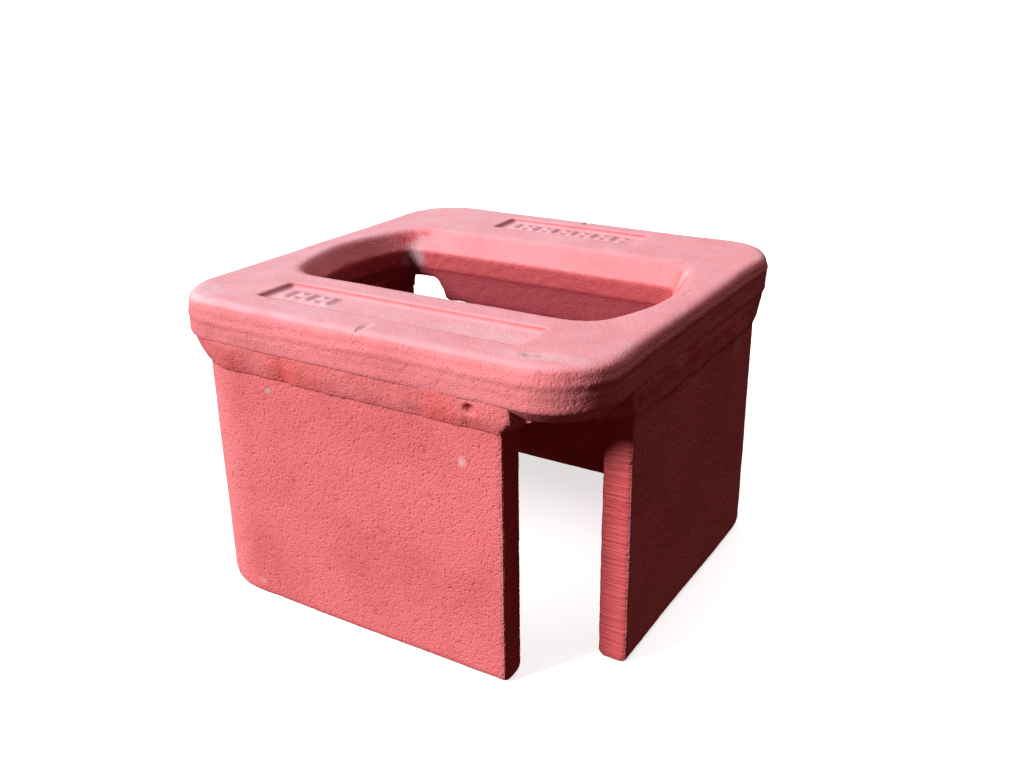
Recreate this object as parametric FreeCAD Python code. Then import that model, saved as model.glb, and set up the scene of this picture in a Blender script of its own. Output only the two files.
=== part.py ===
"""Raised deck socket: a cast socket plate on a skirt of two bent plates, joined by weld beads.

Millimetres. +Z up, X along the long way of the opening, origin on the floor under the centre.
"""
import FreeCAD
import Part
import os
from math import pi, sin, sqrt

os.makedirs("parts", exist_ok=True)

# ---- driving dimensions ------------------------------------------------------------------
# Skirt: two plates, each bent once, standing as two L shapes with an open slot at two corners.
skirt_length = 189.0          # outside, along X
skirt_width = 184.0           # outside, along Y
skirt_height = 108.4
wall = 12.0
bend_radius = 33.0            # outside of the bend
slot_setback = 33.3           # from the outside corner back to three of the wall ends
left_end_setback = 35.7       # the same for the back end of the left wall, which is shorter
foot_round = 3.5              # rounding of the long lower edges
skirt_edge = 1.2              # rounding of the edges of the flame-cut wall ends

# Socket plate: a casting with a bevelled opening that is a disc cut off by two straight sides.
overhang_x = 0.5              # past the outside of the skirt, on the left and right
overhang_y = 3.0              # the same, at the front and back
plate_thickness = 21.6
plate_corner = 25.5
rim_edge = 3.0                # rounding of the top edge of the rim
weld_prep = 5.8               # chamfer under the rim that the outer beads fill
opening_radius = 82.0         # at the top face
opening_width = 92.0
opening_blend = 18.0          # corner between a straight side and the round end
land_radius = 76.0            # at the foot of the bevel
land_width = 71.0
land_blend = 7.0
bevel_depth = 9.0
# The halves of the mould meet in the opening, and the lower half is a little wider.
parting_drop = 17.0           # from the top face
parting_step = 0.6
# Under each long side of the opening a lip hangs down, which the foot of the lock turns under.
lip_depth = 8.4               # below the underside of the plate
lip_length = 98.0             # at the bottom
lip_slope = 6.0               # how far each end leans out on the way up
lip_width = 12.0
lip_edge = 2.0

# Sunk panels on the top face, with small raised foundry marks.
panel_depth = 2.0
panel_corner = 1.0
front_panel_length = 119.0
front_panel_width = 20.3
front_panel_x = 0.7
front_panel_margin = 16.5     # from the front rim
back_panel_length = 74.0
back_panel_width = 19.0
back_panel_x = -2.0
back_panel_margin = 11.5      # from the back rim
mark_height = 1.2
mark_size = 2.4
mark_bar = 8.0                # length of the long marks
mark_pitch = 5.2
mark_inset = 7.0              # from the ends of the panel to the first and last marks
front_mark_count = 5

# Sighting grooves, cut in from the middle of the front and back rims.
groove_width = 1.6
groove_depth = 1.4
front_groove_x = 0.4
front_groove_length = 7.5
back_groove_x = -2.0
back_groove_length = 6.5

# Weld beads.
outer_bead_drop = 6.4         # from the underside of the plate to the lower toe on the wall
bead_toe = 0.4                # thickness left at a toe
bead_shoulder = 0.8           # how far the middle of the outer bead stands in from the rim
inner_bead_leg = 6.0
slot_bead_inside = 1.5        # past the inside face of the wall
slot_bead_steps = 7           # levels in the curve of a slot bead
# A slot bead runs down each wall end, along the plate from it, and under the plate between.
slot_head = 1.4               # thickness under the plate
tip_drop = 9.9                # at the front or back wall
tip_reach = 9.0
tail_drop = 12.4              # at the right or left wall
tail_reach = 4.5

# ---- values that follow -------------------------------------------------------------------
half_length = skirt_length / 2
half_width = skirt_width / 2
plate_half_x = half_length + overhang_x
plate_half_y = half_width + overhang_y
plate_top = skirt_height + plate_thickness
seat = skirt_height           # the underside of the plate rests on the top of the walls
rim_foot = seat + weld_prep   # where the chamfer under the rim begins
end_x = half_length - slot_setback
end_y = half_width - slot_setback
left_end_y = half_width - left_end_setback
lip_foot = seat - lip_depth
throat_half_width = land_width / 2 + parting_step    # below the parting line
front_panel_y = -plate_half_y + front_panel_margin + front_panel_width / 2
back_panel_y = plate_half_y - back_panel_margin - back_panel_width / 2
back_mark_count = 1 + int((back_panel_length - 2 * mark_inset) / mark_pitch)
reach = skirt_length + skirt_width    # longer than anything, for cutting tools
ALONG = FreeCAD.Vector(1, 0, 0)
ACROSS = FreeCAD.Vector(0, 1, 0)
MIDDLE = FreeCAD.Vector(0, 0, 0)


def point(x, y, z=0.0):
    return FreeCAD.Vector(x, y, z)


def arc(start, middle, end):
    return Part.Arc(start, middle, end).toShape()


def on_circle(centre, toward, radius, z):
    """The point of a circle that lies in a direction from its centre."""
    size = sqrt(toward[0] ** 2 + toward[1] ** 2)
    return point(centre[0] + radius * toward[0] / size, centre[1] + radius * toward[1] / size, z)


def rounded_outline(half_x, half_y, radius, z):
    """A closed rounded rectangle about the Z axis: four sides and four corner arcs."""
    cx = half_x - radius
    cy = half_y - radius
    edges = []
    turns = [(1, 1), (-1, 1), (-1, -1), (1, -1)]
    for index, (sx, sy) in enumerate(turns):
        on_x = point(sx * half_x, sy * cy, z)
        on_y = point(sx * cx, sy * half_y, z)
        middle = on_circle((sx * cx, sy * cy), (sx, sy), radius, z)
        start, finish = (on_x, on_y) if sx == sy else (on_y, on_x)
        edges.append(arc(start, middle, finish))
        nx, ny = turns[(index + 1) % len(turns)]
        if sx == sy:
            following = point(nx * cx, ny * half_y, z)
        else:
            following = point(nx * half_x, ny * cy, z)
        edges.append(Part.makeLine(finish, following))
    return Part.Wire(edges)


def opening_outline(radius, width, blend, z):
    """A disc cut off by two straight sides, with blended corners, as a closed wire."""
    half = width / 2
    cy = half - blend
    cx = sqrt((radius - blend) ** 2 - cy ** 2)
    scale = radius / (radius - blend)

    def corner(sx, sy):
        on_side = point(sx * cx, sy * half, z)
        on_disc = point(sx * cx * scale, sy * cy * scale, z)
        toward = (cx * scale - cx, cy * scale - cy)
        size = sqrt(toward[0] ** 2 + toward[1] ** 2)
        bisector = (toward[0] / size, toward[1] / size + 1)
        middle = on_circle((sx * cx, sy * cy), (sx * bisector[0], sy * bisector[1]), blend, z)
        return on_side, middle, on_disc

    side_a, mid_a, disc_a = corner(1, 1)
    side_b, mid_b, disc_b = corner(-1, 1)
    side_c, mid_c, disc_c = corner(-1, -1)
    side_d, mid_d, disc_d = corner(1, -1)
    return Part.Wire([
        Part.makeLine(side_a, side_b),
        arc(side_b, mid_b, disc_b),
        arc(disc_b, point(-radius, 0, z), disc_c),
        arc(disc_c, mid_c, side_c),
        Part.makeLine(side_c, side_d),
        arc(side_d, mid_d, disc_d),
        arc(disc_d, point(radius, 0, z), disc_a),
        arc(disc_a, mid_a, side_a),
    ])


def prism(wire, height):
    return Part.Face(wire).extrude(point(0, 0, height))


def block(x0, x1, y0, y1, z0, z1):
    return Part.makeBox(x1 - x0, y1 - y0, z1 - z0, point(x0, y0, z0))


def stack(sections):
    """A solid with straight flanks through closed wires, one above the other."""
    return Part.makeLoft(sections, True, True)


def half_turn(shape):
    """The shape turned half round the upright middle line: two mirrorings at right angles."""
    return shape.mirror(MIDDLE, ALONG).mirror(MIDDLE, ACROSS)


def largest_solid(shape):
    return max(shape.Solids, key=lambda solid: solid.Volume)


# ---- skirt --------------------------------------------------------------------------------
def bent_outline(outer, inner, tip_x, tail_y, z):
    """An L with one bend, as a closed wire: the front left plate seen from above.

    outer and inner are how far its two long faces lie inside the outside of the skirt,
    tip_x is where its front wall ends, and tail_y is where its left wall ends.
    """
    def bend(inset):
        radius = bend_radius - inset
        x = -half_length + inset
        y = -half_width + inset
        centre = (-half_length + bend_radius, -half_width + bend_radius)
        on_front = point(centre[0], y, z)
        on_left = point(x, centre[1], z)
        return on_front, on_circle(centre, (-1, -1), radius, z), on_left

    front_out, middle_out, left_out = bend(outer)
    front_in, middle_in, left_in = bend(inner)
    tip_out = point(tip_x, front_out.y, z)
    tail_out = point(left_out.x, tail_y, z)
    tail_in = point(left_in.x, tail_y, z)
    tip_in = point(tip_x, front_in.y, z)
    return Part.Wire([
        Part.makeLine(tip_out, front_out),
        arc(front_out, middle_out, left_out),
        Part.makeLine(left_out, tail_out),
        Part.makeLine(tail_out, tail_in),
        Part.makeLine(tail_in, left_in),
        arc(left_in, middle_in, front_in),
        Part.makeLine(front_in, tip_in),
        Part.makeLine(tip_in, tip_out),
    ])


def is_foot_edge(edge):
    """A lower edge along a wall face, straight or round the bend."""
    return edge.BoundBox.ZMax < skirt_edge / 10 and edge.Length > 1.5 * wall


def is_end_edge(edge, tip_x, tail_y):
    """An edge round the flame-cut face of a wall end, but not the one under the plate."""
    box = edge.BoundBox
    on_tip = abs(box.XMin - tip_x) + abs(box.XMax - tip_x) < skirt_edge / 10
    on_tail = abs(box.YMin - tail_y) + abs(box.YMax - tail_y) < skirt_edge / 10
    return (on_tip or on_tail) and box.ZMin < seat - skirt_edge


def make_skirt_plate(tip_x, tail_y):
    plate = prism(bent_outline(0, wall, tip_x, tail_y, 0), seat)
    plate = plate.makeFillet(foot_round, [edge for edge in plate.Edges if is_foot_edge(edge)])
    ends = [edge for edge in plate.Edges if is_end_edge(edge, tip_x, tail_y)]
    return largest_solid(plate.makeFillet(skirt_edge, ends))


# ---- socket plate -------------------------------------------------------------------------
def make_lips():
    """Both lips as one bar across the opening, before the opening is cut through them."""
    half = lip_length / 2
    y = throat_half_width + lip_width
    profile = Part.makePolygon([
        point(-half - lip_slope, -y, seat), point(-half, -y, lip_foot), point(half, -y, lip_foot),
        point(half + lip_slope, -y, seat), point(-half - lip_slope, -y, seat)])
    return Part.Face(profile).extrude(point(0, 2 * y, 0))


def make_plate():
    plate = prism(rounded_outline(plate_half_x, plate_half_y, plate_corner, seat), plate_thickness)
    top = [edge for edge in plate.Edges if edge.BoundBox.ZMin > plate_top - rim_edge]
    plate = plate.makeFillet(rim_edge, top)
    foot = [edge for edge in plate.Edges if edge.BoundBox.ZMax < seat + rim_edge / 10]
    plate = plate.makeChamfer(weld_prep, foot)

    plate = plate.fuse(make_lips())
    throat = opening_outline(land_radius + parting_step, 2 * throat_half_width,
                             land_blend + parting_step, lip_foot)
    plate = plate.cut(prism(throat, plate_top - parting_drop - lip_foot))
    land = opening_outline(land_radius, land_width, land_blend, plate_top - parting_drop)
    plate = plate.cut(prism(land, parting_drop))
    lip_edges = [edge for edge in plate.Edges if edge.BoundBox.ZMax < lip_foot + lip_edge / 10]
    plate = plate.makeFillet(lip_edge, lip_edges)
    bevel = stack([
        opening_outline(land_radius, land_width, land_blend, plate_top - bevel_depth),
        opening_outline(opening_radius, opening_width, opening_blend, plate_top),
    ])
    plate = plate.cut(bevel)

    for length, width, x, y in [
        (front_panel_length, front_panel_width, front_panel_x, front_panel_y),
        (back_panel_length, back_panel_width, back_panel_x, back_panel_y),
    ]:
        sunk = prism(rounded_outline(length / 2, width / 2, panel_corner, plate_top - panel_depth),
                     panel_depth)
        sunk.translate(point(x, y))
        plate = plate.cut(sunk)

    for x, y0, y1 in [
        (front_groove_x, -plate_half_y, -plate_half_y + front_groove_length),
        (back_groove_x, plate_half_y - back_groove_length, plate_half_y),
    ]:
        plate = plate.cut(block(x - groove_width / 2, x + groove_width / 2, y0, y1,
                                plate_top - groove_depth, plate_top))

    marks = (mark_row(front_panel_x - front_panel_length / 2 + mark_inset, front_panel_y,
                      front_mark_count)
             + mark_row(back_panel_x - back_panel_length / 2 + mark_inset, back_panel_y,
                        back_mark_count))
    for mark in marks:
        plate = plate.fuse(mark)
    return largest_solid(plate.removeSplitter())


def mark_row(x, y, count):
    """Plain raised marks on the floor of a panel: a bar, then pips in pairs, and again."""
    floor = plate_top - panel_depth
    row = []
    for index in range(count):
        centre = x + index * mark_pitch
        left = centre - mark_size / 2
        right = centre + mark_size / 2
        if index % 2 == 0:
            row.append(block(left, right, y - mark_bar / 2, y + mark_bar / 2,
                             floor - mark_height, floor + mark_height))
            continue
        for side in (-1, 1):
            middle = y + side * (mark_bar - mark_size) / 2
            row.append(block(left, right, middle - mark_size / 2, middle + mark_size / 2,
                             floor - mark_height, floor + mark_height))
    return row


# ---- weld beads ---------------------------------------------------------------------------
def outer_hull(low):
    """The outside of the beads: up the wall from a level, then out to the foot of the rim."""
    toe = seat - outer_bead_drop
    middle = (toe + rim_foot) / 2
    toe_half_x = half_length + bead_toe
    toe_half_y = half_width + bead_toe
    middle_half_x = max(plate_half_x - bead_shoulder, (toe_half_x + plate_half_x) / 2)
    middle_half_y = max(plate_half_y - bead_shoulder, (toe_half_y + plate_half_y) / 2)
    toe_radius = bend_radius + bead_toe
    return stack([
        rounded_outline(toe_half_x, toe_half_y, toe_radius, low),
        rounded_outline(toe_half_x, toe_half_y, toe_radius, toe),
        rounded_outline(middle_half_x, middle_half_y, (toe_radius + plate_corner) / 2, middle),
        rounded_outline(plate_half_x, plate_half_y, plate_corner, rim_foot),
    ])


def make_outer_bead(plate, skirt, tip_x, tail_y):
    toe = seat - outer_bead_drop
    along_the_wall = prism(bent_outline(-reach, wall, tip_x, tail_y, toe), rim_foot - toe)
    return largest_solid(outer_hull(toe - wall).common(along_the_wall).cut(skirt).cut(plate))


def make_inner_bead(tip_x, tail_y):
    return stack([
        bent_outline(wall, wall + bead_toe, tip_x, tail_y, seat - inner_bead_leg),
        bent_outline(wall, wall + inner_bead_leg, tip_x, tail_y, seat),
    ])


def slot_window(tail_y):
    """The clear space under a slot bead: upright below, closing in to a rounded head."""
    low = seat - max(tip_drop, tail_drop)
    head = seat - slot_head

    def inset(z, drop, bead_reach):
        rise = max(0.0, (z - seat + drop) / (drop - slot_head))
        return bead_toe + (bead_reach - bead_toe) * (1 - sqrt(max(0.0, 1 - rise ** 2)))

    sections = []
    for step in range(slot_bead_steps):
        z = low + (head - low) * sin(pi / 2 * step / (slot_bead_steps - 1))
        x = end_x + inset(z, tip_drop, tip_reach)
        y = -tail_y - inset(z, tail_drop, tail_reach)
        corners = [point(x, -reach, z), point(reach, -reach, z), point(reach, y, z), point(x, y, z)]
        sections.append(Part.makePolygon(corners + corners[:1]))
    return stack(sections)


def make_slot_bead(plate, tail_y):
    """The slot bead at the front right corner, where the right wall ends at -tail_y."""
    low = seat - max(tip_drop, tail_drop)
    height = rim_foot - low
    inset = wall + slot_bead_inside
    slot = block(end_x, reach, -reach, -tail_y, low, rim_foot)
    inside = rounded_outline(half_length - inset, half_width - inset, bend_radius - inset, low)
    bead = outer_hull(low).common(slot).cut(prism(inside, height))
    # Between the wall ends it leaves the chamfer of the rim open.
    flat = rounded_outline(plate_half_x - weld_prep, plate_half_y - weld_prep,
                           plate_corner - weld_prep, low)
    between = block(end_x + tip_reach, reach, -reach, -tail_y - tail_reach, low, rim_foot)
    bead = bead.cut(between.cut(prism(flat, height)))
    return largest_solid(bead.cut(slot_window(tail_y)).cut(plate))


# ---- build --------------------------------------------------------------------------------
# The plate and beads at the back right are made in the place of those at the front left, and
# turned half round.
socket_plate = make_plate()
front_left_skirt = make_skirt_plate(end_x, left_end_y)
back_right_skirt = make_skirt_plate(end_x, end_y)
nodes = {
    "socket_plate": socket_plate,
    "front_left_skirt": front_left_skirt,
    "back_right_skirt": half_turn(back_right_skirt),
    "front_left_outer_weld": make_outer_bead(socket_plate, front_left_skirt, end_x, left_end_y),
    "back_right_outer_weld": half_turn(
        make_outer_bead(socket_plate, back_right_skirt, end_x, end_y)),
    "front_left_inner_weld": make_inner_bead(end_x, left_end_y),
    "back_right_inner_weld": half_turn(make_inner_bead(end_x, end_y)),
    "front_right_slot_weld": make_slot_bead(socket_plate, end_y),
    "back_left_slot_weld": half_turn(make_slot_bead(socket_plate, left_end_y)),
}
for name, shape in nodes.items():
    shape.exportStep("parts/" + name + ".step")
    box = shape.optimalBoundingBox()
    print(name, "valid", shape.isValid(), "solids", len(shape.Solids),
          "volume", round(shape.Volume), "z", round(box.ZMin, 2), round(box.ZMax, 2))
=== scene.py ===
# Raised deck socket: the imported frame, dressed as a sand casting welded to bent plates
# under one coat of red primer. Metres throughout; sizes named *_MM are millimetres.

import math

import bpy
import numpy as np
from mathutils import Matrix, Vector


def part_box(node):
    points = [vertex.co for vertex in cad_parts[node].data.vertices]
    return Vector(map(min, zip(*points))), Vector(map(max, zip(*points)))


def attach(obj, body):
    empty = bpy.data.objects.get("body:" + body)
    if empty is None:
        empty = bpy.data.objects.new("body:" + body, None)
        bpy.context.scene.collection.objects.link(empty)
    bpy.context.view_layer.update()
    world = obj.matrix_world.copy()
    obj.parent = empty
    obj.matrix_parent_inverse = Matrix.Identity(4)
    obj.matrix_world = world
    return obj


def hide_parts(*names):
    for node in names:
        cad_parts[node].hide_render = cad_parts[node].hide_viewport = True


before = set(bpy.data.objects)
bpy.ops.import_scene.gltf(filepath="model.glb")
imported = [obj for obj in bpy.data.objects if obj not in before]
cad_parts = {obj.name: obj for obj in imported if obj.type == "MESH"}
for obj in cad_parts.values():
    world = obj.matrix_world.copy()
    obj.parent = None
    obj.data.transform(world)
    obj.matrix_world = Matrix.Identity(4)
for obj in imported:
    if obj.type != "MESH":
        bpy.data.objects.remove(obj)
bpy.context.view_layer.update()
MM = 0.001


# ---------------------------------------------------------------------------------------
# Noise and small tools
# ---------------------------------------------------------------------------------------
def lattice(ix, iy, iz, seed):
    """A repeatable random number from -1 to 1 at each whole-number point."""
    with np.errstate(over="ignore"):
        n = (ix.astype(np.uint32) * np.uint32(374761393)
             + iy.astype(np.uint32) * np.uint32(668265263)
             + iz.astype(np.uint32) * np.uint32(2246822519)
             + np.uint32(seed) * np.uint32(3266489917))
        n = (n ^ (n >> np.uint32(13))) * np.uint32(1274126177)
        n = (n ^ (n >> np.uint32(16))) * np.uint32(2654435761)
        n = n ^ (n >> np.uint32(15))
    return (n & np.uint32(0xFFFF)).astype(np.float64) / 32767.5 - 1.0


def noise(p, size, seed=0, stretch=(1, 1, 1)):
    """Smooth value noise from about -1 to 1; p in millimetres, size is the feature size."""
    q = p / (np.array(stretch, dtype=float) * size) + 1000.0 + 17.3 * seed
    base = np.floor(q)
    f = q - base
    f = f * f * f * (f * (f * 6 - 15) + 10)
    i = base.astype(np.int64)
    total = np.zeros(len(p))
    for dx in (0, 1):
        wx = f[:, 0] if dx else 1 - f[:, 0]
        for dy in (0, 1):
            wy = f[:, 1] if dy else 1 - f[:, 1]
            for dz in (0, 1):
                wz = f[:, 2] if dz else 1 - f[:, 2]
                total += wx * wy * wz * lattice(i[:, 0] + dx, i[:, 1] + dy, i[:, 2] + dz, seed)
    return total


def smoothstep(low, high, x):
    t = np.clip((x - low) / (high - low), 0, 1)
    return t * t * (3 - 2 * t)


def bump(x, centre, width):
    """A soft hump of height 1 at centre, gone at width from it."""
    return np.clip(1 - ((x - centre) / width) ** 2, 0, 1) ** 2


class Surface:
    """A mesh read into arrays, in millimetres, so that whole fields can move its points."""

    def __init__(self, mesh):
        count = len(mesh.vertices)
        flat = np.empty(count * 3)
        mesh.vertices.foreach_get("co", flat)
        self.mesh = mesh
        self.p = flat.reshape(-1, 3) / MM
        edges = np.empty(len(mesh.edges) * 2, dtype=np.int64)
        mesh.edges.foreach_get("vertices", edges)
        self.edges = edges.reshape(-1, 2)
        self.degree = np.maximum(np.bincount(self.edges.ravel(), minlength=count), 1)

    def normals(self):
        self.write()
        flat = np.empty(len(self.mesh.vertices) * 3)
        self.mesh.vertices.foreach_get("normal", flat)
        return flat.reshape(-1, 3)

    def relax(self, steps, weight=1.0):
        """Averages each point with its neighbours, by weight, to round edges off."""
        a, b = self.edges[:, 0], self.edges[:, 1]
        count = len(self.p)
        weight = np.broadcast_to(np.asarray(weight, dtype=float), (count,))[:, None]
        for _ in range(steps):
            total = np.empty_like(self.p)
            for axis in range(3):
                total[:, axis] = (np.bincount(a, self.p[b, axis], count)
                                  + np.bincount(b, self.p[a, axis], count))
            self.p += 0.5 * weight * (total / self.degree[:, None] - self.p)

    def write(self):
        self.mesh.vertices.foreach_set("co", (self.p * MM).ravel())
        self.mesh.update()

    def paint(self, **fields):
        """Stores fields from 0 to 1 on the points, for the paint to follow the shape."""
        for name, values in fields.items():
            values = np.broadcast_to(np.asarray(values, dtype=np.float32), (len(self.p),))
            layer = self.mesh.attributes.new(name, "FLOAT", "POINT")
            layer.data.foreach_set("value", np.clip(values, 0, 1).astype(np.float32))


def remeshed(node, name, voxel_mm):
    """A new, evenly meshed object with the shape of a CAD node."""
    obj = bpy.data.objects.new(name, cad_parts[node].data.copy())
    bpy.context.scene.collection.objects.link(obj)
    modifier = obj.modifiers.new("even", "REMESH")
    modifier.mode = "VOXEL"
    modifier.voxel_size = voxel_mm * MM
    modifier.use_smooth_shade = True
    graph = bpy.context.evaluated_depsgraph_get()
    mesh = bpy.data.meshes.new_from_object(obj.evaluated_get(graph))
    obj.modifiers.clear()
    obj.data = mesh
    mesh.name = name
    return obj


def finish_piece(obj, node, material):
    obj.data.materials.clear()
    obj.data.materials.append(material)
    for polygon in obj.data.polygons:
        polygon.use_smooth = True
    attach(obj, "root")
    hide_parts(node)


# ---------------------------------------------------------------------------------------
# Sizes, read from the frame
# ---------------------------------------------------------------------------------------
plate_low, plate_high = (np.array(v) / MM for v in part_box("socket_plate"))
front_low, front_high = (np.array(v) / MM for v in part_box("front_left_skirt"))
back_low = np.array(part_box("back_right_skirt")[0]) / MM
TOP = plate_high[2]
SEAT = front_high[2]
RIM_X = plate_high[0]
RIM_Y = plate_high[1]
FRONT_TIP_X = front_high[0]      # where the front wall ends at the right
LEFT_TIP_Y = front_high[1]       # where the left wall ends at the back
BACK_TIP_X = back_low[0]         # where the back wall ends at the left
RIGHT_TIP_Y = back_low[1]        # where the right wall ends at the front
RIM_CORNER_MM = 25.5
PARTING = TOP - 17.0
RIM_FOOT = TOP - 15.8             # where the chamfer under the rim begins
DISC_MM = 82.0                   # the opening's outline at the top face
SIDE_MM = 46.0
BEVEL_MM = 9.0
INSIDE_X_MM = 76                 # a wall face nearer the middle than these is an inner one
INSIDE_Y_MM = 74
SLITS = ((2.4, -RIM_Y + 4.5), (-2.0, RIM_Y))    # where the slits in the top edge lie
LIP_HANG_MM = 2.4                # how far the foot of each lip is drawn down
DRAG_PITCH_MM = 1.75             # between the lines that the flame left
CASTING_VOXEL_MM = 0.92
PLATE_VOXEL_MM = 0.95
BEAD_VOXEL_MM = 0.5


def rounded_distance(p, half_x, half_y, radius):
    """How far each point is outside a rounded rectangle about the Z axis."""
    qx = np.abs(p[:, 0]) - (half_x - radius)
    qy = np.abs(p[:, 1]) - (half_y - radius)
    outside = np.hypot(np.maximum(qx, 0), np.maximum(qy, 0))
    return outside + np.minimum(np.maximum(qx, qy), 0) - radius


def opening_distance(p, disc, side):
    """How far each point is outside the disc with two straight sides."""
    return np.maximum(np.hypot(p[:, 0], p[:, 1]) - disc, np.abs(p[:, 1]) - side)


# ---------------------------------------------------------------------------------------
# Shapes
# ---------------------------------------------------------------------------------------
def sand_grain(p, coarse, fine, seed):
    """Sand-cast skin: blotchy coarse grain with finer grain in it."""
    patch = 0.8 + 0.3 * noise(p, 14, seed + 5)
    return patch * coarse * (noise(p, 2.1, seed) + 0.9 * noise(p, 1.25, seed + 1)) \
        + fine * noise(p, 0.9, seed + 2)


def shape_casting(obj):
    """Rounds the socket plate off, and gives it the skin and marks of a sand casting."""
    s = Surface(obj.data)
    p = s.p
    gap = opening_distance(p, DISC_MM, SIDE_MM)
    rim = rounded_distance(p, RIM_X, RIM_Y, RIM_CORNER_MM)
    top_lip = bump(gap, -1, 8) * smoothstep(TOP - 7, TOP - 2, p[:, 2])
    outer_edge = bump(rim, -1, 6) * smoothstep(TOP - 6, TOP - 2, p[:, 2])
    slit = np.zeros(len(p))
    for x, y in SLITS:
        slit = np.maximum(slit, bump(p[:, 0], x, 3.4) * bump(p[:, 1], y, 11))
    s.relax(1)
    s.relax(18, np.clip(top_lip, 0, 1))
    s.relax(14, np.clip(outer_edge * (1 - 3 * slit), 0, 1))
    n = s.normals()
    p = s.p.copy()
    z = p[:, 2]
    up = np.clip(n[:, 2], 0, 1)
    side = 1 - np.abs(n[:, 2])
    on_rim = smoothstep(-6, -1.5, rim)
    outward = n * np.array([1, 1, 0])
    # The rim is fullest at the joint line of the mould, and banded by the sand above it.
    line_z = TOP - 7.0 + 0.7 * noise(p, 40, 31) + 0.3 * noise(p, 9, 32) + 0.012 * p[:, 0]
    lean = 0.5 * smoothstep(TOP, line_z, z) + 0.25
    line = 0.34 * bump(z, line_z, 1.9)
    band = 0.16 * bump(z, line_z - 3.4 + 0.6 * noise(p, 22, 33), 1.3) \
        - 0.12 * bump(z, line_z + 2.2, 1.2)
    wave = 0.34 * noise(p, 34, 11) + 0.20 * noise(p, 15, 12) \
        + 0.12 * noise(p, 6, 10, (2.2, 2.2, 0.6))
    s.p += outward * ((lean + (line + band) * side + wave) * on_rim)[:, None]
    # The top is a little uneven.
    s.p[:, 2] += up * (0.25 * noise(p, 42, 13) + 0.12 * noise(p, 17, 14) + 0.05 * noise(p, 7, 15))
    inside = smoothstep(2, -2, gap)
    throat = inside * smoothstep(TOP - BEVEL_MM + 1.0, TOP - BEVEL_MM - 0.6, z)
    coarse = 0.035 + 0.055 * on_rim * side + 0.12 * throat * side
    grain = sand_grain(p, coarse, 0.03, 21)
    s.p += n * grain[:, None]
    # The corner of the bevel and the throat is broken by the coarse sand.
    ragged = bump(z, TOP - BEVEL_MM, 1.5) * inside
    s.p += n * (ragged * 0.25 * noise(p, 2.4, 16))[:, None]
    # A pinhole and a few nicks in the skin.
    for x, y, zc, radius, depth in (
            (86.8, 3.7, TOP, 1.1, 0.9), (-14.6, -90.6, TOP, 1.6, 0.5),
            (67.5, -85.0, TOP, 2.4, 0.5), (71.5, -84.0, TOP, 1.6, 0.4),
            (-31.0, -89.0, TOP, 1.2, 0.3)):
        d = np.sqrt((p[:, 0] - x) ** 2 + (p[:, 1] - y) ** 2 + (z - zc) ** 2)
        s.p -= n * (depth * bump(d, 0, radius))[:, None]
    for x, y in SLITS:
        cut = bump(p[:, 0] - 0.05 * (p[:, 1] - y), x, 1.3) * bump(p[:, 1], y, 6) \
            * smoothstep(TOP - 5, TOP - 1, z)
        s.p[:, 2] -= 1.6 * cut
        grain = grain - 0.3 * cut
    # The foot of each lip hangs lower than in the CAD, to close the gap seen past its end.
    s.p[:, 2] -= inside * LIP_HANG_MM * smoothstep(plate_low[2] + 4, plate_low[2] + 0.5, z) \
        * (1 + 0.3 * noise(p, 8, 17))
    s.write()
    in_pocket = smoothstep(TOP - 0.4, TOP - 0.8, z) * smoothstep(TOP - 2.6, TOP - 2.2, z) \
        * smoothstep(-6, -9, rim) * (1 - inside) * smoothstep(0.6, 0.95, n[:, 2])
    # The pale chalky tint is dust on up-facing faces and pocket floors, and painted sheen as well:
    # it fades toward the right, away from the light, and inside the opening, and the band round
    # the rim gets a painted highlight.
    lit = smoothstep(0.2, 0.95, n[:, 2]) * (1 - throat)
    sheen_and_dust_amount = 0.90 - 0.20 * smoothstep(-60, 90, p[:, 0]) - 0.30 * inside
    chalk = np.maximum(lit * sheen_and_dust_amount, 0.30 * on_rim)
    chalk = np.maximum(chalk, 0.8 * in_pocket)
    # The throat of the opening, its lip below the joint line and the side walls of the pockets are
    # painted dark crimson: painted shade.
    lip = throat * smoothstep(PARTING + 0.3, PARTING - 0.5, z)
    pocket_wall_shade = smoothstep(TOP - 0.2, TOP - 0.6, z) * smoothstep(TOP - 3.0, TOP - 2.0, z) * side \
        * smoothstep(-6, -9, rim) * smoothstep(3, 5, gap)
    # The pits are painted darker, most in the throat: painted shade.
    s.paint(pit=(-grain / 0.22 - 0.1) * (0.35 + 0.65 * throat), chalk=chalk,
            deep=0.62 * throat + 0.38 * lip + 0.6 * pocket_wall_shade, cut=0.0)


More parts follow.
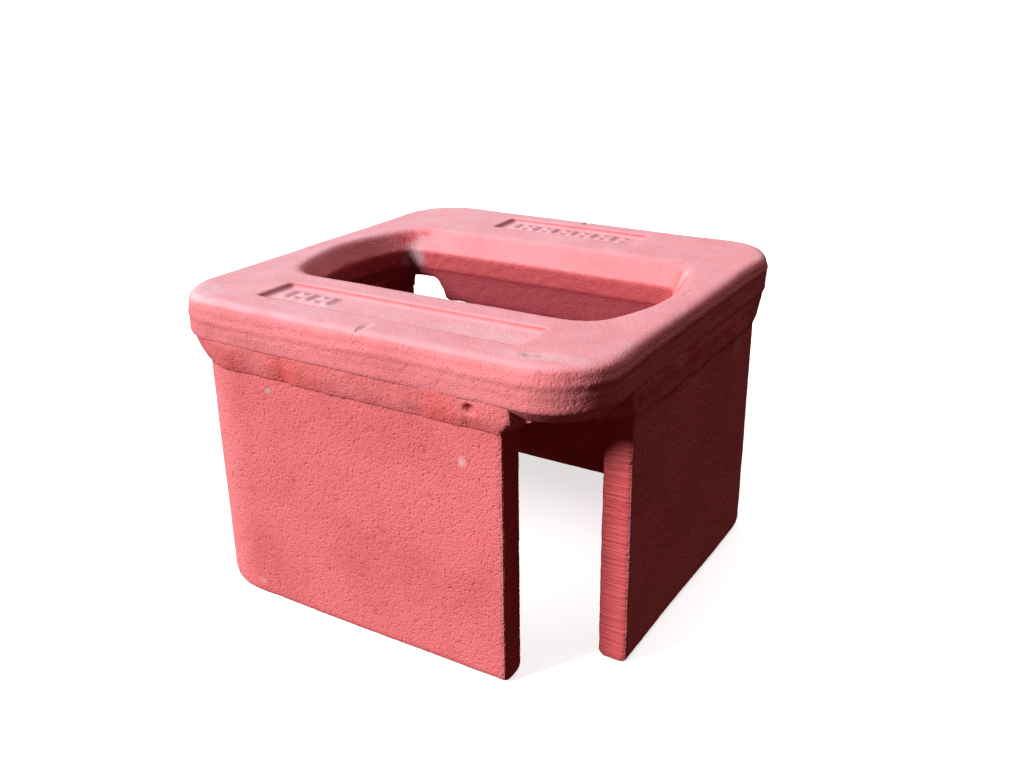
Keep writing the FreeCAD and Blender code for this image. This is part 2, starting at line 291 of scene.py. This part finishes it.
def shape_skirt(obj, ends):
    """Pits a bent plate, and marks its flame-cut ends: ends holds an axis and a level each."""
    s = Surface(obj.data)
    s.relax(2)
    n = s.normals()
    p = s.p.copy()
    cut = np.zeros(len(p))
    edge = np.zeros(len(p))
    for axis, level in ends:
        away = np.abs(p[:, axis] - level)
        cut = np.maximum(cut, smoothstep(0.9, 0.2, away) * np.abs(n[:, axis]))
        edge = np.maximum(edge, smoothstep(3.2, 0.6, away))
    inner = smoothstep(0.2, 0.8, (n[:, 0] * -np.sign(p[:, 0]) * (np.abs(p[:, 0]) > INSIDE_X_MM)
                                  + n[:, 1] * -np.sign(p[:, 1]) * (np.abs(p[:, 1]) > INSIDE_Y_MM)))
    face = 1 - cut
    # Blasted, primed plate: shallow pits and fine grain, over a slow waviness.
    pits = -0.26 * np.clip(noise(p, 1.7, 51) - 0.30, 0, 1)
    peel = 0.045 * noise(p, 2.6, 52) + 0.03 * noise(p, 1.7, 53)
    wave = 0.22 * noise(p, 48, 54) + 0.08 * noise(p, 11, 55)
    soft = 1 - 0.45 * inner
    s.p += n * (face * (soft * (pits + peel) + wave))[:, None]
    # Drag lines across the flame-cut ends, and ragged edges beside them.
    along = np.where(np.abs(n[:, 0]) > np.abs(n[:, 1]), p[:, 1], p[:, 0])
    curve = 0.5 * np.sin(along * 0.45)
    lines = p[:, 2] + curve + 0.5 * noise(p, 9, 56)
    drag = 0.085 * np.sin(lines * 2 * math.pi / DRAG_PITCH_MM) + 0.09 * noise(
        np.stack([lines, 0 * lines, 0 * lines], 1), 1.2, 57)
    s.p += n * (cut * (drag + 0.03 * noise(p, 1.0, 58)))[:, None]
    ragged = 0.20 * noise(p, 1.8, 59) + 0.16 * noise(p, 4.2, 60)
    s.p += n * (edge * (1 - cut) * ragged * 0.6)[:, None]
    s.write()
    # The plates are painted paler on their outer faces, most on the bends, as dust with painted
    # sheen. The inner faces and flame-cut ends are painted dark crimson: on the inner faces this
    # is painted shade, and on the ends it is a deeper tint with painted shade. Pits and drag-line
    # troughs are painted darker: painted shade.
    bend = np.abs(n[:, 0] * n[:, 1]) * 2
    s.paint(pit=-(pits + peel) / 0.20 * face - drag / 0.25 * cut - 0.15,
            chalk=(0.14 + 0.20 * bend) * face * (1 - inner), deep=0.30 * cut + 0.35 * inner,
            cut=cut)


def weld_into_walls(s):
    """Runs the ends of a slot bead on into the walls and the outer beads, with no seam, and
    draws its outer side in to a rounded corner. The one at the back left is turned half round."""
    turn = np.sign(s.p[0, 0])
    x, y = s.p[:, 0] * turn, s.p[:, 1] * turn
    tip = FRONT_TIP_X if turn > 0 else -BACK_TIP_X
    tail = -RIGHT_TIP_Y if turn > 0 else LEFT_TIP_Y
    outer = smoothstep(-84, -92, y) * (x < 80)
    near = np.clip((x - tip) / 10.0, 0, 1)
    s.p[:, 0] -= turn * outer * 5.0 * near
    right = smoothstep(86, 93, x) * (y > -tail - 10)
    near = np.clip((-tail - y) / 5.0, 0, 1)
    s.p[:, 1] += turn * right * 2.0 * near
    s.relax(12)
    x, y = s.p[:, 0] * turn, s.p[:, 1] * turn
    s.p[:, 0] -= turn * 2.2 * smoothstep(tip + 1.8, tip + 0.3, x)
    s.p[:, 1] += turn * 2.2 * smoothstep(-tail - 1.8, -tail - 0.3, y)
    # Between the walls it lies up inside the chamfer of the rim.
    x, y = s.p[:, 0] * turn, s.p[:, 1] * turn
    between = smoothstep(tip + 8.5, tip + 11, x) * smoothstep(-tail - 4, -tail - 7, y)
    s.p[:, 2] += 2.4 * between


def shape_bead(obj, swell, lift=0.0, lumps=(), slot=False):
    """Turns a straight-flanked CAD bead into weld metal. All beads share one field of noise,
    so that they run into each other; lift draws the upper edge up on to the rim."""
    s = Surface(obj.data)
    s.relax(4 if lift else 12)
    if slot:
        weld_into_walls(s)
    rim = rounded_distance(s.p, RIM_X, RIM_Y, RIM_CORNER_MM)
    raised = lift * (1.0 + 0.35 * noise(s.p, 17, 71)) * smoothstep(-7, -1.5, rim)
    s.p[:, 2] += raised * smoothstep(SEAT - 3, RIM_FOOT - 0.5, s.p[:, 2])
    n = s.normals()
    p = s.p.copy()
    push = swell + 0.30 * noise(p, 13, 73) + 0.18 * noise(p, 5.5, 74) + 0.09 * noise(p, 2.4, 75) \
        + 0.07 * noise(p, 1.2, 76)
    if lift:
        # The upper edge dies away into the rim, and the lower one into the wall.
        under = smoothstep(RIM_FOOT + raised + 0.3, RIM_FOOT + raised - 3.2, p[:, 2])
        push = push * under - 0.55 * (1 - under)
        push = push - 0.15 * smoothstep(SEAT - 4.6, SEAT - 6.4, p[:, 2]) * (not slot)
    for x, y, z, radius, height in lumps:
        d = np.sqrt((p[:, 0] - x) ** 2 + (p[:, 1] - y) ** 2 + (1.4 * (p[:, 2] - z)) ** 2)
        push = push + height * bump(d, 0, radius)
    s.p += n * push[:, None]
    s.write()
    # Hollows in the weld metal are painted darker: painted shade. The pale tint here is random
    # dust.
    s.paint(pit=-push + 0.25 + swell, chalk=0.12 + 0.15 * noise(p, 14, 78), deep=0.0, cut=0.0)


# ---------------------------------------------------------------------------------------
# Materials
# ---------------------------------------------------------------------------------------
class Nodes:
    """Shorthand for building a node tree."""

    def __init__(self, name):
        self.material = bpy.data.materials.new(name)
        self.material.use_nodes = True
        self.tree = self.material.node_tree
        self.tree.nodes.clear()
        out = self.tree.nodes.new("ShaderNodeOutputMaterial")
        self.shader = self.tree.nodes.new("ShaderNodeBsdfPrincipled")
        self.tree.links.new(self.shader.outputs[0], out.inputs["Surface"])
        coords = self.tree.nodes.new("ShaderNodeTexCoord")
        self.place = coords.outputs["Object"]

    def put(self, value, socket):
        if hasattr(value, "is_linked"):
            self.tree.links.new(value, socket)
        else:
            socket.default_value = value

    def noise(self, size_mm, detail=2.0, rough=0.5, stretch=(1, 1, 1), offset=0.0):
        node = self.tree.nodes.new("ShaderNodeTexNoise")
        node.inputs["Scale"].default_value = 1.0 / (size_mm * MM)
        node.inputs["Detail"].default_value = detail
        node.inputs["Roughness"].default_value = rough
        mapping = self.tree.nodes.new("ShaderNodeMapping")
        mapping.inputs["Scale"].default_value = tuple(1 / v for v in stretch)
        mapping.inputs["Location"].default_value = (offset, offset * 0.7, offset * 0.3)
        self.tree.links.new(self.place, mapping.inputs["Vector"])
        self.tree.links.new(mapping.outputs["Vector"], node.inputs["Vector"])
        return node.outputs["Fac"]

    def ramp(self, value, low, high, to_low=0.0, to_high=1.0):
        node = self.tree.nodes.new("ShaderNodeMapRange")
        node.interpolation_type = "SMOOTHSTEP"
        for key, item in (("From Min", low), ("From Max", high),
                          ("To Min", to_low), ("To Max", to_high)):
            node.inputs[key].default_value = item
        self.put(value, node.inputs["Value"])
        return node.outputs["Result"]

    def layer(self, name):
        """A field that Surface.paint stored on the points."""
        node = self.tree.nodes.new("ShaderNodeAttribute")
        node.attribute_name = name
        return node.outputs["Fac"]

    def math(self, operation, a, b=0.0, clamp=False):
        node = self.tree.nodes.new("ShaderNodeMath")
        node.operation = operation
        node.use_clamp = clamp
        self.put(a, node.inputs[0])
        self.put(b, node.inputs[1])
        return node.outputs[0]

    def mix(self, factor, a, b):
        node = self.tree.nodes.new("ShaderNodeMix")
        node.data_type = "RGBA"
        self.put(factor, node.inputs["Factor"])
        for value, socket in ((a, node.inputs[6]), (b, node.inputs[7])):
            self.put(value if hasattr(value, "is_linked") else (*value, 1.0), socket)
        return node.outputs[2]

    def spot(self, x, y, z, radius, stretch=(1, 1, 1)):
        """1 at a place on the object, in millimetres, fading out at radius."""
        mapping = self.tree.nodes.new("ShaderNodeMapping")
        mapping.vector_type = "TEXTURE"
        mapping.inputs["Location"].default_value = (x * MM, y * MM, z * MM)
        mapping.inputs["Scale"].default_value = tuple(v * radius * MM for v in stretch)
        self.tree.links.new(self.place, mapping.inputs["Vector"])
        node = self.tree.nodes.new("ShaderNodeVectorMath")
        node.operation = "LENGTH"
        self.tree.links.new(mapping.outputs["Vector"], node.inputs[0])
        return self.ramp(node.outputs["Value"], 1.0, 0.35)

    def bump(self, height, distance_mm, strength=1.0):
        node = self.tree.nodes.new("ShaderNodeBump")
        node.inputs["Distance"].default_value = distance_mm * MM
        node.inputs["Strength"].default_value = strength
        self.tree.links.new(height, node.inputs["Height"])
        self.tree.links.new(node.outputs["Normal"], self.shader.inputs["Normal"])


PRIMER = (0.57, 0.092, 0.095)
PRIMER_DEEP = (0.49, 0.062, 0.066)
PRIMER_ORANGE = (0.60, 0.096, 0.086)
# Dark red-brown: painted shade in pits and hollows.
PIT_SHADE = (0.25, 0.030, 0.038)
# Pale chalky pink: dust, with painted sheen and highlights.
CHALK_AND_SHEEN = (0.56, 0.305, 0.345)
# Dark crimson: painted shade, and a deeper tint as well on the flame-cut plate ends.
CRIMSON_TINT_AND_SHADE = (0.23, 0.022, 0.034)
SCUFF = (0.55, 0.44, 0.46)
# Plum: painted shade.
SHADE_PLUM = (0.42, 0.25, 0.30)
# Slate blue-grey: a painted reflection.
SLATE_REFLECTION = (0.30, 0.31, 0.36)
RUDDY = (0.50, 0.040, 0.065)
BARE = (0.30, 0.26, 0.25)


def primer(name, scuffs_and_painted_light, bare_spots, grain_mm, grain_size_mm, tint=PRIMER, orange=0.25,
           depth=0.5):
    """Matt red primer: paler and chalky where the mesh's fields put a powdery film and painted
    sheen, dark crimson where they put painted shade or a deeper tint, and darker in pits and
    hollows as painted shade, with patches and chips through it. A patch is a place, a radius, a
    stretch, an amount and a colour; most are scuff marks, some are painted shade, a painted
    highlight or a painted reflection. depth sets how dark the painted shade in the pits is."""
    m = Nodes(name)
    cloud = m.noise(38, 3, 0.55, offset=3.0)
    mottle = m.noise(7, 3, 0.6, offset=9.0)
    speck = m.noise(1.3, 2, 0.6, offset=5.0)
    color = m.mix(m.ramp(cloud, 0.35, 0.7), tint, PRIMER_DEEP)
    color = m.mix(m.math("MULTIPLY", m.ramp(mottle, 0.45, 0.75), orange), color, PRIMER_ORANGE)
    pits = m.noise(grain_size_mm * 1.5, 0.6, 0.5, offset=4.0)
    color = m.mix(m.ramp(speck, 0.55, 0.80, 0.0, 0.3), color, PRIMER_DEEP)
    # Paler where dust lies and where painted sheen and highlights are put.
    dust_and_sheen_mix = m.math("MULTIPLY", m.layer("chalk"),
                  m.ramp(m.noise(16, 4, 0.6, offset=1.0), 0.25, 0.75, 0.80, 1.10))
    color = m.mix(dust_and_sheen_mix, color, CHALK_AND_SHEEN)
    # Dark crimson where the mesh says: painted shade, with a deeper tint on flame-cut ends.
    color = m.mix(m.layer("deep"), color, CRIMSON_TINT_AND_SHADE)
    # Pits and hollows marked on the mesh are painted darker: painted shade.
    hollow_shade = m.math("MULTIPLY", m.ramp(m.layer("pit"), 0.25, 0.95), depth)
    color = m.mix(hollow_shade, color, PIT_SHADE)
    # Small pits of the noise are painted darker too, less where the paint is pale: painted shade.
    flat = m.ramp(m.layer("chalk"), 0.3, 0.7, 1.0, 0.25)
    color = m.mix(m.math("MULTIPLY", m.ramp(pits, 0.36, 0.22, 0.0, depth * 0.6), flat),
                  color, PIT_SHADE)
    rub = m.noise(2.2, 4, 0.7, offset=2.0)
    haze = m.noise(5.5, 3, 0.6, offset=8.0)
    for x, y, z, radius, stretch, amount, tone in scuffs_and_painted_light:
        spread = m.math("MULTIPLY", m.ramp(haze, 0.30, 0.70, 0.35, 1.0),
                        m.ramp(rub, 0.30, 0.62, 0.45, 1.0))
        place = m.spot(x, y, z, radius, stretch)
        mark = m.math("MULTIPLY", m.math("MULTIPLY", place, spread), amount)
        color = m.mix(mark, color, tone)
    for x, y, z, radius, stretch in bare_spots:
        edge = m.math("ADD", m.spot(x, y, z, radius, stretch),
                      m.math("MULTIPLY", m.math("SUBTRACT", rub, 0.5), 1.4))
        color = m.mix(m.ramp(edge, 0.45, 0.65, 0.0, 0.8), color, BARE)
    m.put(color, m.shader.inputs["Base Color"])
    m.put(m.ramp(mottle, 0.3, 0.7, 0.62, 0.80), m.shader.inputs["Roughness"])
    m.shader.inputs["Specular IOR Level"].default_value = 0.35
    # Fine relief: pits and grain, or drag lines on a flame-cut face.
    drag = m.noise(1.1, 1, 0.5, (14, 14, 1), 7.0)
    grain = m.noise(grain_size_mm * 0.8, 1, 0.5, offset=6.0)
    pitted = m.math("MULTIPLY", m.ramp(pits, 0.24, 0.46), m.math("MULTIPLY", flat, 0.55))
    height = m.math("ADD", pitted, m.math("MULTIPLY", grain, 1.1))
    height = m.math("ADD", m.math("MULTIPLY", height, m.ramp(m.layer("cut"), 0.2, 0.8, 1.0, 0.25)),
                    m.math("MULTIPLY", drag, m.math("MULTIPLY", m.layer("cut"), 2.2)))
    m.bump(height, grain_mm)
    return m.material


casting_paint = primer(
    "primer_on_casting",
    [(-86, -84, TOP, 15, (1.2, 1, 0.4), 0.45, SCUFF),
     (-72, -91.5, TOP - 0.5, 14, (1.6, 0.25, 0.3), 0.45, SCUFF),
     (62, -87, TOP, 12, (1.6, 0.30, 0.5), 0.40, SCUFF),
     (80, -83, TOP, 10, (1.4, 0.5, 0.5), 0.50, SCUFF),
     (-80, 82, TOP, 16, (1.4, 0.8, 0.6), 0.30, SCUFF),
     (76, 92, TOP, 18, (1.3, 0.25, 0.6), 0.50, SCUFF),
     (93, 76, TOP, 12, (0.25, 1.2, 0.6), 0.5, SCUFF),
     (-42, -70, TOP - 2, 18, (1.6, 0.7, 0.4), 0.30, SCUFF),
     (40, -68, TOP - 2, 24, (1.2, 0.5, 0.3), 0.30, SCUFF),
     # This pale patch on the bevel at the right end of the opening is a painted highlight.
     (74, 32, TOP - 4, 9, (0.5, 1.2, 1.0), 0.60, SCUFF),
     # These two plum patches on the shaded front right corner of the rim are painted shade.
     (84, -81, TOP - 8, 11, (1.0, 1.0, 1.2), 0.40, SHADE_PLUM),
     (90, -68, TOP - 7, 10, (0.6, 1.4, 1.0), 0.30, SHADE_PLUM),
     # These two slate patches in the far left inner corner of the opening are a painted
     # reflection.
     (-67, 35.5, TOP - 13, 9, (0.9, 0.9, 1.2), 0.75, SLATE_REFLECTION),
     (-67.5, 41, TOP - 6.5, 6, (1.3, 1.0, 0.8), 0.55, SLATE_REFLECTION),
     (-71, 37, TOP - 3.5, 9, (0.7, 1.2, 0.5), 0.85, RUDDY),
     (-66, 44, TOP - 3, 5, (1.2, 0.8, 0.6), 0.70, RUDDY)],
    [(67.5, -85.3, TOP, 3.0, (1.8, 0.6, 1.0)), (71.5, -84.0, TOP, 1.5, (1.0, 0.6, 1.0))],
    0.20, 0.8)
skirt_paint = primer(
    "primer_on_plate",
    [(44.6, -92, 88.3, 2.4, (1, 1, 1.2), 0.8, SCUFF),
     (-59.3, -92, 7.1, 2.2, (1.4, 1, 0.8), 0.6, SCUFF),
     (94.5, 44.8, 97.6, 8.0, (1, 0.7, 1.0), 0.5, SCUFF),
     (94.5, -0.8, 99.4, 7.0, (1, 0.6, 1.2), 0.4, SCUFF),
     (61.5, -91.5, 60, 50, (0.02, 0.02, 1.1), 0.35, SCUFF),
     (94, -59, 60, 50, (0.02, 0.02, 1.1), 0.5, SCUFF)],
    [(-44.9, -92, 96.8, 2.0, (1, 1, 1)), (94.5, 44.8, 98.5, 3.0, (1, 0.6, 1.2))],
    0.36, 0.9, depth=0.65)
weld_paint = primer(
    "primer_on_weld",
    [(94.5, -0.8, 101.0, 7.0, (1, 0.8, 1.0), 0.3, SCUFF)],
    [(95, 46, 103, 3.0, (1, 0.8, 1.0))],
    0.25, 0.8, (0.58, 0.105, 0.102), 0.55)


# ---------------------------------------------------------------------------------------
# Pieces
# ---------------------------------------------------------------------------------------
casting = remeshed("socket_plate", "cast_socket_plate", CASTING_VOXEL_MM)
shape_casting(casting)
finish_piece(casting, "socket_plate", casting_paint)

front_plate = remeshed("front_left_skirt", "bent_plate_front_left", PLATE_VOXEL_MM)
shape_skirt(front_plate, ((0, FRONT_TIP_X), (1, LEFT_TIP_Y)))
finish_piece(front_plate, "front_left_skirt", skirt_paint)

back_plate = remeshed("back_right_skirt", "bent_plate_back_right", PLATE_VOXEL_MM)
shape_skirt(back_plate, ((0, BACK_TIP_X), (1, RIGHT_TIP_Y)))
finish_piece(back_plate, "back_right_skirt", skirt_paint)

# Lumps and a pinhole in the beads: a place, a radius and a height.
weld_lumps = (
    (38, -94, 110, 13, 0.5), (57, -94, 108.5, 12, 0.8), (50, -94.8, 110.4, 3.4, -2.2),
    (45, -94, 106.6, 6, 0.4), (-20, -94, 111, 16, 0.3), (-66, -93, 109, 14, 0.4),
    (94, 40, 106, 9, 0.6), (94, -20, 108, 12, 0.4), (20, 94, 110, 14, 0.4))
for node, name, swell, lift, slot in (
        ("front_left_outer_weld", "outer_bead_front_left", 0.40, 2.6, False),
        ("back_right_outer_weld", "outer_bead_back_right", 0.40, 2.6, False),
        ("front_left_inner_weld", "inner_bead_front_left", 0.25, 0.0, False),
        ("back_right_inner_weld", "inner_bead_back_right", 0.25, 0.0, False),
        ("front_right_slot_weld", "slot_bead_front_right", 0.40, 2.6, True),
        ("back_left_slot_weld", "slot_bead_back_left", 0.40, 2.6, True)):
    bead = remeshed(node, name, BEAD_VOXEL_MM)
    shape_bead(bead, swell, lift, weld_lumps, slot)
    finish_piece(bead, node, weld_paint)


# ---------------------------------------------------------------------------------------
# Stage, light and camera
# ---------------------------------------------------------------------------------------
def make_floor():
    """A flat pale floor, wide enough to fill the picture, with a lamp of its own."""
    half, count = 30.0, 60
    line = np.linspace(-half, half, count + 1)
    x, y = np.meshgrid(line, line)
    verts = np.stack([x.ravel(), y.ravel(), np.zeros(x.size)], 1)
    row = count + 1
    faces = [(j * row + i, j * row + i + 1, (j + 1) * row + i + 1, (j + 1) * row + i)
             for j in range(count) for i in range(count)]
    mesh = bpy.data.meshes.new("floor")
    mesh.from_pydata(verts.tolist(), [], faces)
    floor = bpy.data.objects.new("floor", mesh)
    bpy.context.scene.collection.objects.link(floor)
    m = Nodes("pale_floor")
    tone = m.mix(m.noise(60, 2, 0.5), (0.84, 0.84, 0.84), (0.86, 0.86, 0.86))
    m.put(tone, m.shader.inputs["Base Color"])
    m.shader.inputs["Roughness"].default_value = 0.9
    m.shader.inputs["Specular IOR Level"].default_value = 0.1
    mesh.materials.append(m.material)
    # The floor throws no light back up, and is lit evenly.
    floor.visible_diffuse = False
    floor.visible_glossy = False
    data = bpy.data.lights.new("floor_light", "SUN")
    data.energy = 2.6
    data.use_shadow = False
    light = bpy.data.objects.new("floor_light", data)
    bpy.context.scene.collection.objects.link(light)
    only_floor = bpy.data.collections.new("floor_only")
    only_floor.objects.link(floor)
    light.light_linking.receiver_collection = only_floor


def sun_light(name, toward, strength, spread, color):
    """toward is the direction from the object to the light, spread its width in degrees."""
    data = bpy.data.lights.new(name, "SUN")
    data.energy = strength
    data.angle = math.radians(spread)
    data.color = color
    light = bpy.data.objects.new(name, data)
    bpy.context.scene.collection.objects.link(light)
    z = np.array(toward, dtype=float)
    z = z / np.linalg.norm(z)
    x = np.cross((0, 0, 1), z)
    x = x / np.linalg.norm(x)
    y = np.cross(z, x)
    light.matrix_world = Matrix((
        (x[0], y[0], z[0], 0), (x[1], y[1], z[1], 0), (x[2], y[2], z[2], 1), (0, 0, 0, 1)))


def make_world():
    """White behind the floor, and a dim warm fill for the shaded sides."""
    world = bpy.data.worlds.new("pale_studio")
    world.use_nodes = True
    tree = world.node_tree
    background = tree.nodes["Background"]
    mix = tree.nodes.new("ShaderNodeMix")
    mix.data_type = "RGBA"
    path = tree.nodes.new("ShaderNodeLightPath")
    tree.links.new(path.outputs["Is Camera Ray"], mix.inputs["Factor"])
    mix.inputs[6].default_value = (0.088, 0.030, 0.027, 1.0)
    mix.inputs[7].default_value = (1.0, 1.0, 1.0, 1.0)
    tree.links.new(mix.outputs[2], background.inputs["Color"])
    bpy.context.scene.world = world


def make_camera():
    """The view of the object from above its front right corner."""
    data = bpy.data.cameras.new("camera")
    data.sensor_width = 36.0
    data.lens = 36.83
    data.clip_start = 0.01
    camera = bpy.data.objects.new("camera", data)
    bpy.context.scene.collection.objects.link(camera)
    turn, tilt, roll = math.radians(31.24), math.radians(21.88), math.radians(-0.58)
    ahead = np.array([-math.sin(turn) * math.cos(tilt), math.cos(turn) * math.cos(tilt),
                      -math.sin(tilt)])
    right = np.array([math.cos(turn), math.sin(turn), 0.0])
    up = np.cross(right, ahead)
    x = math.cos(roll) * right + math.sin(roll) * up
    y = math.cos(roll) * up - math.sin(roll) * right
    z = -ahead
    at = np.array([230.02, -363.53, 249.18]) * MM
    camera.matrix_world = Matrix((
        (x[0], y[0], z[0], at[0]), (x[1], y[1], z[1], at[1]),
        (x[2], y[2], z[2], at[2]), (0, 0, 0, 1)))
    bpy.context.scene.camera = camera


make_floor()
sun_light("key", (-0.50, -0.70, 0.45), 6.4, 14.0, (1.0, 0.99, 0.98))
sun_light("sky", (-0.12, 0.20, 1.0), 2.1, 60.0, (1.0, 0.98, 1.0))
make_world()
bpy.context.scene.view_settings.view_transform = "Standard"
bpy.context.scene.view_settings.look = "None"
make_camera()
